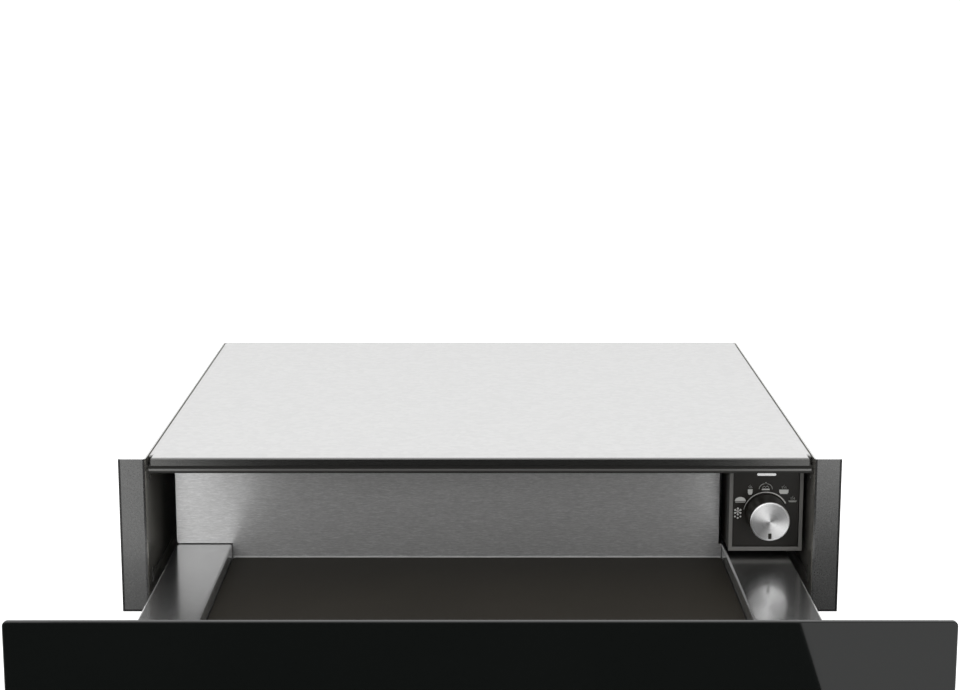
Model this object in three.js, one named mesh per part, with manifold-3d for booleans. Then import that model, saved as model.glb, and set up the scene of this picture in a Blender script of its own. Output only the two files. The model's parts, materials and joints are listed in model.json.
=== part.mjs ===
// A built-in warming drawer, pulled out to its stop.
// Millimetres, +Z up. X runs across the front and Y runs back into the cabinet. The model is laid
// out from the front plane of the wings (Y = 0) on the centre line, at the level the feet stand on.
// At the end it moves along Y, so that the origin is under the middle of the whole drawer.
import * as THREE from "three";
import { mergeVertices } from "three/addons/utils/BufferGeometryUtils.js";
import Module from "manifold-3d";

const wasm = await Module();
wasm.setup();

// ---- Driving dimensions ----

// Clearances
const touch = 0.3;            // between pieces that bear on each other
const shaftGap = 0.3;         // round a shaft, all the way
const knobGap = 0.5;          // behind the turning knob

// Carcass
const wingSpan = 597;
const bodyWidth = 555;
const bodyHeight = 131;
const sheet = 1.5;
const foldHeight = 9;
const frontLipHeight = 7;
const beadHeight = 24;        // centre line of the side's bead above the side's lower edge
const beadWidth = 4;
const beadDepth = 0.8;
const fixingRadius = 2.5;
const fixingSetback = 18;
const fixingShares = [0.25, 0.85];   // of the carcass's height

// Feet
const footHeight = 8;
const footRadius = 14;
const footSetback = 38;       // from the front and from the rear
const footPegRadius = 3;
const footBevel = 1;
const footTaper = 2;          // the top's radius is this much smaller

// Vents
const ventWidth = 4;
const ventLength = 26;
const ventPitch = 11;
const ventColumns = 3;
const ventRows = 7;
const sideVents = 4;
const baseVentColumns = 4;
const baseVentRows = 2;

// Front rail
const railEndGap = 4.5;
const railLipEndGap = 2.5;
const railFace = 5.7;
const railGroove = 2.5;
const railLip = 1.9;
const railUnder = 1.9;
const railSheet = 1.2;
const railReturn = 16;
const railLipSetback = 0.4;   // of the lip's face behind the rail's
const railFlangeGap = 2;      // between the flange and the control unit

// Control unit
const controlSetback = 31;
const controlWidth = 62.2;
const controlSideGap = 1.6;   // from the fold of the carcass's top plate
const controlLift = 3.9;      // over the ledge that slides below it
const frameBar = 3.1;
const frameLowBar = 3.6;
const frameDepth = 4.2;
const fasciaRecess = 1.2;
const housingDepth = 50;
const housingWall = 1.2;
const housingRim = 5;
const lampWidth = 16;
const lampHeight = 1.8;
const lampDrop = 18.7;        // from the control unit's upper edge to the lens
const switchSize = 28;
const switchDepth = 18.5;
const boardThickness = 1.6;
const boardMargin = 6;
const ductWidth = 18;
const ductHeight = 19;

// Knob
const knobLift = 32.1;        // axis above the control unit's lower edge
const knobFaceRadius = 16.6;
const knobFaceThickness = 2.5;
const knobFaceBevel = 0.7;
const knobSkirt = 0.5;
const knobLength = 25.5;
const knobSocket = 12;
const spindleRadius = 3;
const spindleLength = 29;
const bushWall = 1.4;
const pointerWidth = 2.3;
const pointerLength = 4.5;
const pointerInset = 2;
const pointerDepth = 1;

// Tray
const trayGap = 13.8;         // from a ledge to the side of the carcass
const ledgeWidth = 48.2;
const controlLedgeWidth = 53.2;   // of the ledge that slides below the control unit
const trayLift = 23.2;        // free height under the tray's floor
const wellDepth = 13.8;
const trayDepth = 444;
const traySheet = 1;
const trayLip = 7;
const matThickness = 1.8;
const matEdge = 0.8;
const matRearGap = 1.5;
const matCorner = 3;
const wallSheet = 1.2;
const wallHeadroom = 7;
const wallSeam = 0.7;
const wallFlange = 10;
const wallControlGap = 4.1;
const wallCorner = 2;

// Front panel
const travel = 378;
const panelGround = 1.7;
const panelDrop = 3.3;
const glassThickness = 4;
const glassCorner = 3;
const glassBevel = 0.6;
const backingDepth = 16;
const backingSheet = 1.2;
const backingSideInset = 8.5;
const backingTopInset = 5.7;
const bumperThickness = 2.5;
const bumperRadius = 5;
const bumperInset = 8.6;      // from the backing's upper or lower edge to a bumper's centre

// Runners and what carries them
const carrierSheet = 1.2;
const carrierFlange = 9;
const bracketSheet = 1.5;
const bracketFoot = 17;
const runnerWidth = 13;
const runnerHeight = 28;
const runnerGauge = 1.2;
const runnerStart = 6;
const runnerShortfall = 4;    // a member is this much shorter than the tray
const ballRadius = 1.1;
const ballGap = 0.3;
const ballPitch = 38;
const cageSheet = 0.6;
const cageSlack = 50;         // how much shorter a cage is than the members' overlap
const outerLipGap = 4.5;      // from the outer member's lips to the drawer's side
const middleLipGap = 0.5;     // from the middle member's lips to the inner member's web
const webGap = 0.2;           // further room beside a cage's web
const ballSetback = 2.5;      // of a row of balls from the edge it runs along
const cornerBracketWidth = 26;
const cornerBracketLength = 45;
const cornerBracketInset = 1; // from the tray's turned-down lip

// Fan unit
const rearClear = 3;
const fanDepth = 60;
const fanHalfWidth = 85;
const fanHeadroom = 9.5;
const fanWall = 1.2;
const fanFoot = 12;
const motorLength = 18;
const motorRadius = 24;
const elementRadius = 3.2;
const elementWallGap = 4.5;
const elementImpellerGap = 7;
const elementLegSpacing = 18;
const elementOpening = 1.6;   // the ring's gap in units of its legs' spacing
const impellerLength = 20;
const impellerBackGap = 8;
const impellerSheet = 1.2;
const hubRadius = 9;
const fanShaftRadius = 2.5;
const bladeCount = 18;
const bladeDepth = 11;
const bladeLean = 35;         // degrees off the radius
const airHoleCount = 5;
const airHoleMargin = 1;      // of metal left beside the motor and the impeller's rim
const coverSlotWidth = 4;
const coverSlotPitch = 10;
const coverMargin = 14;
const cutoutRadius = 8;
const cutoutDepth = 6;

// Mains connection
const inletX = 205;
const inletWidth = 28;
const inletHeight = 20;
const inletDepth = 24;
const inletFlange = 5;
const inletWall = 2;
const inletRise = 15;
const pinSize = 2.4;
const pinSpacing = 7;
const blockX = 150;
const blockWidth = 36;
const blockDepth = 20;
const blockHeight = 18;
const blockCells = 3;

// Push-to-open latch
const latchX = -150;
const latchRise = 14;         // axis above the ledges
const latchWidth = 26;
const latchDepth = 44;
const latchStroke = 7;
const plungerRadius = 4;
const plungerHead = 6.5;
const plungerHeadThickness = 4;
const strikerThickness = 1.5;
const springWire = 0.7;
const springTurns = 7;

// ---- Places worked out from them ----

const bodyHalf = bodyWidth / 2;
const innerHalf = bodyHalf - sheet;
const zBase = footHeight;
const zTop = zBase + bodyHeight;
const zFloor = zBase + sheet;
const zCeiling = zTop - sheet;
const panelHalf = innerHalf - touch;         // base, top and rear fit between the sides
const foldInside = panelHalf - sheet;

const trayHalf = innerHalf - trayGap;
const wellLeft = -(trayHalf - ledgeWidth);
const wellRight = trayHalf - controlLedgeWidth;
const trayUnder = zFloor + trayLift;
const wellFloor = trayUnder + traySheet;
const ledgeTop = wellFloor + wellDepth;
const ledgeUnder = ledgeTop - traySheet;

const panelTop = zTop - panelDrop;
const panelBack = -(travel + bumperThickness + 2 * touch);
const backingFront = panelBack - backingDepth;
const glassBack = backingFront - touch;
const glassFront = glassBack - glassThickness;

const trayFront = panelBack + touch;
const wellFront = trayFront + traySheet;
const wallFace = wellFront + trayDepth;
const wallBack = wallFace + wallSheet;
const trayRear = wallBack + wallFlange;

const fanFront = trayRear + travel + rearClear;
const rearInner = fanFront + fanDepth;
const bodyDepth = rearInner + sheet;
const rearSeat = rearInner - touch;
const inletBack = bodyDepth + touch + inletWall;

const railBottom = zTop - railFace - railGroove - railLip - railUnder;
const wallTop = railBottom - wallHeadroom;

const controlRight = foldInside - controlSideGap;
const controlLeft = controlRight - controlWidth;
const controlLow = ledgeTop + controlLift;
const controlHigh = zCeiling - touch;
const fasciaFront = controlSetback + fasciaRecess;
const frameBack = controlSetback + frameDepth;
const knobX = (controlLeft + controlRight) / 2;
const knobZ = controlLow + knobLift;
const knobBack = fasciaFront - knobGap;
const knobFront = knobBack - knobLength;
const spindleFront = knobBack - knobSocket + touch;
const bushBore = spindleRadius + shaftGap;
const bushRadius = bushBore + bushWall;
const lampHigh = controlHigh - lampDrop;
const housingFront = frameBack + touch;
const housingBack = housingFront + housingDepth;

const carrierFace = trayHalf - Math.min(ledgeWidth, controlLedgeWidth) + traySheet + touch;
const runnerInside = carrierFace + carrierSheet;
const runnerOutside = runnerInside + runnerWidth;
const runnerZ = (zFloor + ledgeUnder) / 2;
const runnerLength = trayDepth - runnerShortfall;
const runnerEnd = runnerStart + runnerLength;
const runnerOverlap = runnerLength - travel / 2;
const cageLength = runnerOverlap - cageSlack;

const fanLow = zFloor + touch;
const fanHigh = zCeiling - fanHeadroom;
const fanZ = (fanLow + fanHigh) / 2;
const fanHalfHeight = (fanHigh - fanLow) / 2;
const motorFront = rearSeat - motorLength;
const fanBack = motorFront - touch;
const fanBackInner = fanBack - fanWall;
const coverBack = fanFront + fanWall;
const ringRadius = fanHalfHeight - fanWall - elementWallGap - elementRadius;
const impellerRadius = ringRadius - elementRadius - elementImpellerGap;
const impellerBack = fanBackInner - impellerBackGap;
const impellerFront = impellerBack - impellerLength;

// ---- Solids ----

// How many flats stand for a full turn.
const sides = { fine: 64, round: 32, foot: 20, small: 16, tube: 8, ball: 6, wire: 5 };
const ballRings = 4;
const springTurnSteps = 8;
const elementSteps = 52;      // along the whole heater element

function solidOf(geometry) {
  const bare = geometry.clone();
  bare.deleteAttribute("normal");
  bare.deleteAttribute("uv");
  const merged = mergeVertices(bare, 1e-4);
  return new wasm.Manifold(new wasm.Mesh({
    numProp: 3,
    vertProperties: new Float32Array(merged.attributes.position.array),
    triVerts: new Uint32Array(merged.index.array),
  }));
}

function geometryOf(solid) {
  const mesh = solid.getMesh();
  const geometry = new THREE.BufferGeometry();
  geometry.setAttribute("position", new THREE.BufferAttribute(mesh.vertProperties, 3));
  geometry.setIndex(new THREE.BufferAttribute(mesh.triVerts, 1));
  return geometry;
}

// Each range is [low, high].
function box(x, y, z) {
  const geometry = new THREE.BoxGeometry(x[1] - x[0], y[1] - y[0], z[1] - z[0]);
  geometry.translate((x[0] + x[1]) / 2, (y[0] + y[1]) / 2, (z[0] + z[1]) / 2);
  return solidOf(geometry);
}

const planes = {
  xy: new THREE.Matrix4(),
  yz: new THREE.Matrix4().makeBasis(
    new THREE.Vector3(0, 1, 0), new THREE.Vector3(0, 0, 1), new THREE.Vector3(1, 0, 0)),
  xz: new THREE.Matrix4().makeBasis(
    new THREE.Vector3(1, 0, 0), new THREE.Vector3(0, 0, 1), new THREE.Vector3(0, -1, 0)),
};

const shapeOf = (outline) => new THREE.Shape(outline.map(([a, b]) => new THREE.Vector2(a, b)));

// An outline drawn in the named plane and extruded over the range [low, high] square to it.
function prism(outline, plane, [low, high]) {
  const geometry = new THREE.ExtrudeGeometry(shapeOf(outline), { depth: high - low, bevelEnabled: false });
  geometry.translate(0, 0, plane === "xz" ? -high : low);
  geometry.applyMatrix4(planes[plane]);
  return solidOf(geometry);
}

function circle([a, b], radius, count) {
  const points = [];
  for (let i = 0; i < count; i++) {
    const angle = 2 * Math.PI * i / count;
    points.push([a + radius * Math.cos(angle), b + radius * Math.sin(angle)]);
  }
  return points;
}

function rod(centre, radius, plane, range, count = sides.round) {
  return prism(circle(centre, radius, count), plane, range);
}

// A rectangle over [low, high] in both directions, with a radius for each of its corners in the
// order low-low, high-low, high-high, low-high.
function rounded([a0, a1], [b0, b1], radii, steps = 4) {
  const corners = [[a0, b0, 1, 1], [a1, b0, -1, 1], [a1, b1, -1, -1], [a0, b1, 1, -1]];
  const points = [];
  corners.forEach(([a, b, inA, inB], corner) => {
    const radius = radii[corner];
    if (radius === 0) {
      points.push([a, b]);
      return;
    }
    const start = Math.PI + corner * Math.PI / 2;
    for (let i = 0; i <= steps; i++) {
      const angle = start + i / steps * Math.PI / 2;
      points.push([
        a + radius * (inA + Math.cos(angle)),
        b + radius * (inB + Math.sin(angle)),
      ]);
    }
  });
  return points;
}

// A slot with round ends, centred on [a, b] and running along the first axis.
function slot([a, b], length, width) {
  const radius = width / 2;
  return rounded([a - length / 2, a + length / 2], [b - radius, b + radius],
    [radius, radius, radius, radius], 2);
}

// The outline of a folded sheet: path is its centre line, and each fold has a small radius.
function folded(path, thickness) {
  const bend = thickness;
  const steps = 2;
  const left = [];
  const right = [];
  const points = path.map(([a, b]) => new THREE.Vector2(a, b));
  const put = (point, normal) => {
    left.push([point.x + normal.x * thickness / 2, point.y + normal.y * thickness / 2]);
    right.push([point.x - normal.x * thickness / 2, point.y - normal.y * thickness / 2]);
  };
  const normalTo = (direction) => new THREE.Vector2(-direction.y, direction.x);
  points.forEach((point, i) => {
    const before = i > 0 ? point.clone().sub(points[i - 1]).normalize() : null;
    const after = i < points.length - 1 ? points[i + 1].clone().sub(point).normalize() : null;
    if (!before || !after) {
      put(point, normalTo(before ?? after));
      return;
    }
    const turn = Math.atan2(before.cross(after), before.dot(after));
    const side = Math.sign(turn);
    const setback = bend * Math.tan(Math.abs(turn) / 2);
    const normal = normalTo(before);
    const centre = point.clone().addScaledVector(before, -setback).addScaledVector(normal, side * bend);
    for (let k = 0; k <= steps; k++) {
      const turned = normal.clone().rotateAround(new THREE.Vector2(), turn * k / steps);
      put(centre.clone().addScaledVector(turned, -side * bend), turned);
    }
  });
  return left.concat(right.reverse());
}

function joined(list) {
  return list.reduce((whole, part) => whole.add(part));
}

function cut(solid, tools) {
  return tools.reduce((left, tool) => left.subtract(tool), solid);
}

// side is -1 on the left and +1 on the right.
const mirrored = (side, [low, high]) => (side > 0 ? [low, high] : [-high, -low]);
const sideName = (side) => (side > 0 ? "right" : "left");
const flipped = (side, outline) => outline.map(([a, b]) => [side * a, b]);

// ---- Finishes ----

const finishes = {
  darkSteel: { color: 0x5f6060, roughness: 0.5, metalness: 0.6 },
  zincSteel: { color: 0xcfd2d4, roughness: 0.35, metalness: 0.9 },
  brushedSteel: { color: 0xc4c4c2, roughness: 0.3, metalness: 0.9 },
  aluminium: { color: 0xd2d2d0, roughness: 0.3, metalness: 0.95 },
  blackGlass: { color: 0x101211, roughness: 0.05, metalness: 0 },
  blackPlastic: { color: 0x161616, roughness: 0.35, metalness: 0 },
  greyPlastic: { color: 0x666767, roughness: 0.45, metalness: 0 },
  palePlastic: { color: 0xd8d8d2, roughness: 0.5, metalness: 0 },
  lamp: { color: 0xffffff, roughness: 0.3, metalness: 0 },
  board: { color: 0x1f5b37, roughness: 0.6, metalness: 0 },
  rubber: { color: 0x2b2a29, roughness: 0.85, metalness: 0 },
  core: { color: 0x8d8779, roughness: 0.9, metalness: 0 },
};

const drawer = new THREE.Group();

function piece(name, solid, finish) {
  const mesh = new THREE.Mesh(geometryOf(solid), new THREE.MeshStandardMaterial(finishes[finish]));
  mesh.name = name;
  drawer.add(mesh);
}

// ---- Carcass ----

function carcassSide(side) {
  const wallMiddle = bodyHalf - sheet / 2;
  const section = folded([
    [wingSpan / 2, sheet / 2],
    [wallMiddle, sheet / 2],
    [wallMiddle, bodyDepth],
  ], sheet);
  const outline = side > 0 ? section : flipped(side, section).reverse();
  const plain = prism(outline, "xy", [zBase, zTop]);
  const beadZ = zBase + beadHeight;
  const bead = prism(folded([
    [innerHalf, beadZ - beadWidth],
    [innerHalf - beadDepth, beadZ],
    [innerHalf, beadZ + beadWidth],
  ].map(([a, b]) => [side * a, b]), sheet / 2), "xz", [fixingSetback, fanFront]);
  const through = mirrored(side, [innerHalf - sheet, bodyHalf + sheet]);
  const holes = fixingShares.map((share) =>
    rod([fixingSetback, zBase + share * bodyHeight], fixingRadius, "yz", through, sides.small));
  for (let i = 0; i < sideVents; i++) {
    const y = fanFront + ventPitch * (i + 0.5);
    const tall = rounded([y - ventWidth / 2, y + ventWidth / 2],
      [fanZ - ventLength / 2, fanZ + ventLength / 2], Array(4).fill(ventWidth / 2), 2);
    holes.push(prism(tall, "yz", through));
  }
  piece(`carcass_side_${sideName(side)}`, cut(plain.add(bead), holes), "darkSteel");
}

function ventGrid([centreA, centreB], columns, rows, pitchA) {
  const slots = [];
  for (let i = 0; i < columns; i++) {
    for (let j = 0; j < rows; j++) {
      const a = centreA + (i - (columns - 1) / 2) * pitchA;
      const b = centreB + (j - (rows - 1) / 2) * ventPitch;
      slots.push(slot([a, b], ventLength, ventWidth));
    }
  }
  return slots;
}

// The pegs of the feet come up through the base just outside the runner brackets.
const footX = runnerOutside + bracketSheet + bracketFoot + 2 * footPegRadius;
const footPlaces = [-1, 1].flatMap((side) => [
  { side, row: "front", y: footSetback },
  { side, row: "rear", y: bodyDepth - footSetback },
]);

function carcassBase() {
  const middle = panelHalf - sheet / 2;
  const section = folded([
    [-middle, zBase + foldHeight],
    [-middle, zBase + sheet / 2],
    [middle, zBase + sheet / 2],
    [middle, zBase + foldHeight],
  ], sheet);
  const plate = prism(section, "xz", [0, rearSeat]);
  const lip = box([-runnerInside, runnerInside], [0, sheet], [zBase + sheet / 2, zBase + frontLipHeight]);
  const depth = [zBase - sheet, zFloor + sheet];
  const pegs = footPlaces.map(({ side, y }) =>
    rod([side * footX, y], footPegRadius + shaftGap, "xy", depth, sides.small));
  const airY = fanFront - ventPitch * 2;
  const vents = ventGrid([0, airY], baseVentColumns, baseVentRows, ventLength + ventPitch)
    .map((outline) => prism(outline, "xy", depth));
  piece("carcass_base", cut(plate.add(lip), [...pegs, ...vents]), "zincSteel");
}

function carcassTop() {
  const middle = panelHalf - sheet / 2;
  const section = folded([
    [-middle, zTop - foldHeight],
    [-middle, zTop - sheet / 2],
    [middle, zTop - sheet / 2],
    [middle, zTop - foldHeight],
  ], sheet);
  const plate = prism(section, "xz", [railTopReach + touch, rearSeat]);
  const notches = [-1, 1].map((side) => box(mirrored(side, [railHalf, bodyHalf]),
    [0, railReturn + touch], [zTop - 2 * foldHeight, zTop + sheet]));
  piece("carcass_top", cut(plate, notches), "zincSteel");
}

function carcassRear() {
  const plate = box([-panelHalf, panelHalf], [rearInner, bodyDepth], [zBase, zTop]);
  const through = [rearInner - sheet, bodyDepth + sheet];
  const vents = ventGrid([0, fanZ], ventColumns, ventRows, ventLength + ventPitch)
    .map((outline) => prism(outline, "xz", through));
  const inlet = box(inletRangeX(touch), through, inletRangeZ(touch));
  piece("carcass_rear", cut(plate, [...vents, inlet]), "zincSteel");
}

// The rail's section: a face, a groove, a lip and a lower return, with a flange under the top.
const railTopReach = railGroove + 2 * railSheet;
const railFlangeReach = controlSetback - railFlangeGap;
const railHalf = innerHalf - railEndGap;

function frontRail() {
  const faceLow = zTop - railFace;
  const grooveLow = faceLow - railGroove;
  const lipLow = grooveLow - railLip;
  const flangeHigh = zCeiling - touch;
  const section = [
    [0, zTop],
    [0, faceLow],
    [railGroove, faceLow],
    [railGroove, grooveLow],
    [railLipSetback, grooveLow],
    [railLipSetback, lipLow],
    [railLipSetback + railSheet, railBottom],
    [railReturn, railBottom],
    [railReturn, railBottom + railSheet],
    [railGroove + railSheet, railBottom + railSheet],
    [railGroove + railSheet, flangeHigh - railSheet],
    [railFlangeReach, flangeHigh - railSheet],
    [railFlangeReach, flangeHigh],
    [railTopReach, flangeHigh],
    [railTopReach, zTop],
  ];
  const lipHalf = innerHalf - railLipEndGap;
  const lip = box([-lipHalf, lipHalf], [railLipSetback, railGroove], [lipLow, grooveLow]);
  const tabs = [-1, 1].map((side) => box(mirrored(side, [railHalf - railSheet, innerHalf - touch]),
    [railReturn - railSheet, railReturn], [railBottom, flangeHigh]));
  piece("front_rail", joined([prism(section, "yz", [-railHalf, railHalf]), lip, ...tabs]), "darkSteel");
}

function feet() {
  for (const { side, row, y } of footPlaces) {
    const top = footHeight - touch;
    const profile = [
      [0, 0],
      [footRadius - footBevel, 0],
      [footRadius, footBevel],
      [footRadius - footTaper, top],
      [footPegRadius, top],
      [footPegRadius, zFloor + sheet],
      [0, zFloor + sheet],
    ].map(([r, z]) => new THREE.Vector2(r, z));
    const foot = new THREE.LatheGeometry(profile, sides.foot);
    foot.rotateX(Math.PI / 2);
    foot.translate(side * footX, y, 0);
    piece(`foot_${row}_${sideName(side)}`, solidOf(foot), "rubber");
  }
}

// ---- Runners ----

// A C-shaped channel along Y. It is drawn by its distance in from the fixed side of the runner:
// the web lies at web, and the flanges reach over to tip. half is half of its outer height.
function channel(side, { web, tip, half, gauge }, range) {
  const middle = half - gauge / 2;
  const webMiddle = web + Math.sign(tip - web) * gauge / 2;
  const path = [[tip, middle], [webMiddle, middle], [webMiddle, -middle], [tip, -middle]];
  const outline = folded(path, gauge).map(([u, v]) => [side * (runnerOutside - u), runnerZ + v]);
  return prism(outline, "xz", range);
}

const outerMember = {
  web: touch, tip: runnerWidth - outerLipGap, half: runnerHeight / 2, gauge: runnerGauge,
};
const ballRoom = 2 * ballRadius + 2 * ballGap;
const middleMember = {
  web: outerMember.web + runnerGauge + 3 * ballGap + cageSheet + webGap,
  tip: runnerWidth - touch - runnerGauge - middleLipGap,
  half: outerMember.half - runnerGauge - ballRoom,
  gauge: runnerGauge,
};
const innerMember = {
  web: runnerWidth - touch,
  tip: middleMember.web + runnerGauge + 3 * ballGap + cageSheet + webGap,
  half: middleMember.half - runnerGauge - ballRoom,
  gauge: runnerGauge,
};

// A cage is a thin channel that holds a row of balls between two flanges, above and below.
function ballCage(side, outer, ballsAt, range) {
  const half = outer.half - runnerGauge - ballGap - ballRadius + cageSheet / 2;
  const web = outer.web + runnerGauge + ballGap;
  const strip = channel(side, { web, tip: ballsAt + ballRadius + ballGap, half, gauge: cageSheet }, range);
  const count = Math.floor((range[1] - range[0]) / ballPitch);
  const start = (range[0] + range[1] - (count - 1) * ballPitch) / 2;
  const balls = [];
  for (let i = 0; i < count; i++) {
    for (const level of [-1, 1]) {
      const ball = new THREE.SphereGeometry(ballRadius, sides.ball, ballRings);
      ball.translate(side * (runnerOutside - ballsAt), start + i * ballPitch,
        runnerZ + level * (half - cageSheet / 2));
      balls.push(solidOf(ball));
    }
  }
  return joined([strip, ...balls]);
}

function runner(side) {
  const name = sideName(side);
  const fixed = [runnerStart, runnerEnd];
  const halfOut = fixed.map((y) => y - travel / 2);
  const fullOut = fixed.map((y) => y - travel);
  piece(`runner_outer_${name}`, channel(side, outerMember, fixed), "zincSteel");
  piece(`runner_middle_${name}`, channel(side, middleMember, halfOut), "zincSteel");
  piece(`runner_inner_${name}`, channel(side, innerMember, fullOut), "zincSteel");
  const cages = [
    { key: "outer", member: outerMember, low: fixed[0], at: middleMember.web + ballSetback },
    { key: "inner", member: middleMember, low: halfOut[0], at: innerMember.tip + ballSetback },
  ];
  for (const { key, member, low, at } of cages) {
    const from = low + (runnerOverlap - cageLength) / 2;
    piece(`ball_cage_${key}_${name}`,
      ballCage(side, member, at, [from, from + cageLength]), "palePlastic");
  }
}

function runnerBracket(side) {
  const wall = runnerOutside + bracketSheet / 2;
  const section = folded([
    [wall, runnerZ + runnerHeight / 2],
    [wall, zFloor + touch + bracketSheet / 2],
    [wall + bracketFoot, zFloor + touch + bracketSheet / 2],
  ], bracketSheet);
  piece(`runner_bracket_${sideName(side)}`,
    prism(flipped(side, section), "xz", [runnerStart, runnerEnd]), "zincSteel");
}

function drawerCarrier(side) {
  const wall = carrierFace + carrierSheet / 2;
  const high = ledgeUnder - touch - carrierSheet / 2;
  const section = folded([
    [wall, runnerZ - innerMember.half - carrierSheet],
    [wall, high],
    [wall + carrierFlange, high],
  ], carrierSheet);
  piece(`drawer_carrier_${sideName(side)}`,
    prism(flipped(side, section), "xz", [trayFront, trayRear]), "zincSteel");
}

// ---- Tray ----

function tray() {
  const ledgeMiddle = ledgeUnder + traySheet / 2;
  const floorMiddle = trayUnder + traySheet / 2;
  const lipX = trayHalf - traySheet / 2;
  const wellX = [wellLeft - traySheet / 2, wellRight + traySheet / 2];
  const section = folded([
    [-lipX, ledgeTop - trayLip],
    [-lipX, ledgeMiddle],
    [wellX[0], ledgeMiddle],
    [wellX[0], floorMiddle],
    [wellX[1], floorMiddle],
    [wellX[1], ledgeMiddle],
    [lipX, ledgeMiddle],
    [lipX, ledgeTop - trayLip],
  ], traySheet);
  const pan = prism(section, "xz", [trayFront, trayRear]);
  const front = box(wellX, [trayFront, wellFront], [floorMiddle, ledgeTop]);
  piece("drawer_tray", pan.add(front), "brushedSteel");
}

function mat() {
  const outline = rounded([wellLeft + matEdge, wellRight - matEdge],
    [wellFront + matEdge, wallFace - matRearGap], Array(4).fill(matCorner));
  const low = wellFloor + touch;
  piece("drawer_mat", prism(outline, "xy", [low, low + matThickness]), "rubber");
}

function rearWall() {
  const leftEnd = -trayHalf + touch;
  const rightEnd = controlLeft - wallControlGap;
  const seam = ledgeTop + wallSeam;
  const foot = wellFloor + touch;
  const lowX = [wellLeft + touch, wellRight - touch];
  const upper = prism(rounded([leftEnd, rightEnd], [seam, wallTop], [wallCorner, 0, 0, 0]),
    "xz", [wallFace, wallBack]);
  const lower = box(lowX, [wallFace, wallBack], [foot, seam + wallSheet]);
  const lowerTrim = box([rightEnd, lowX[1] + wallSheet], [wallFace - wallSheet, wallBack + wallSheet],
    [ledgeTop, wallTop]);
  const reach = [wallBack - wallSheet / 2, trayRear];
  const flanges = [
    box([leftEnd, rightEnd], reach, [wallTop - wallSheet, wallTop]),
    box(lowX, reach, [foot, foot + wallSheet]),
    box([leftEnd, leftEnd + wallSheet], reach, [seam + wallCorner, wallTop]),
    box([rightEnd - wallSheet, rightEnd], reach, [seam + wallCorner, wallTop]),
  ];
  piece("drawer_rear_wall", joined([upper, cut(lower, [lowerTrim]), ...flanges]), "brushedSteel");
}

// ---- Front panel ----

function glassPanel() {
  const half = wingSpan / 2;
  const outline = rounded([-half, half], [panelGround, panelTop], Array(4).fill(glassCorner));
  const plate = new THREE.ExtrudeGeometry(shapeOf(outline), {
    depth: glassThickness - 2 * glassBevel,
    bevelEnabled: true,
    bevelThickness: glassBevel,
    bevelSize: glassBevel,
    bevelOffset: -glassBevel,
    bevelSegments: 1,
  });
  plate.translate(0, 0, -glassBack + glassBevel);
  plate.applyMatrix4(planes.xz);
  piece("front_glass", solidOf(plate), "blackGlass");
}

const backingX = wingSpan / 2 - backingSideInset;
const backingZ = [panelGround + backingTopInset, panelTop - backingTopInset];

function backing() {
  const shell = box([-backingX, backingX], [backingFront, panelBack], backingZ);
  const pocket = box([-backingX + backingSheet, backingX - backingSheet],
    [backingFront - backingSheet, panelBack - backingSheet],
    [backingZ[0] + backingSheet, backingZ[1] - backingSheet]);
  piece("front_backing", shell.subtract(pocket), "darkSteel");
  const inset = backingSheet + touch;
  piece("front_core", box([-backingX + inset, backingX - inset],
    [backingFront, panelBack - inset], [backingZ[0] + inset, backingZ[1] - inset]), "core");
}

// The bumpers sit in the corners of the backing, where they meet the wings of the closed carcass.
function bumpers() {
  const x = backingX - bumperRadius;
  const levels = { lower: backingZ[0] + bumperInset, upper: backingZ[1] - bumperInset };
  for (const side of [-1, 1]) {
    for (const [level, z] of Object.entries(levels)) {
      piece(`bumper_${level}_${sideName(side)}`,
        rod([side * x, z], bumperRadius, "xz",
          [panelBack + touch, panelBack + touch + bumperThickness], sides.small), "rubber");
    }
  }
}

function cornerBracket(side) {
  const outside = trayHalf - traySheet - cornerBracketInset;
  const across = mirrored(side, [outside - cornerBracketWidth, outside]);
  const web = mirrored(side, [outside - (cornerBracketWidth + bracketSheet) / 2,
    outside - (cornerBracketWidth - bracketSheet) / 2]);
  const front = panelBack + touch;
  const length = [front, front + cornerBracketLength];
  const high = ledgeUnder - touch;
  const low = runnerZ - runnerHeight / 8;
  piece(`corner_bracket_${sideName(side)}`, joined([
    box(across, length, [high - bracketSheet, high]),
    box(across, [front, front + bracketSheet], [low, high]),
    prism([[front, high], [front, low], [length[1], high - 2 * bracketSheet], [length[1], high]],
      "yz", web),
  ]), "zincSteel");
}

// ---- Control unit ----

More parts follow.
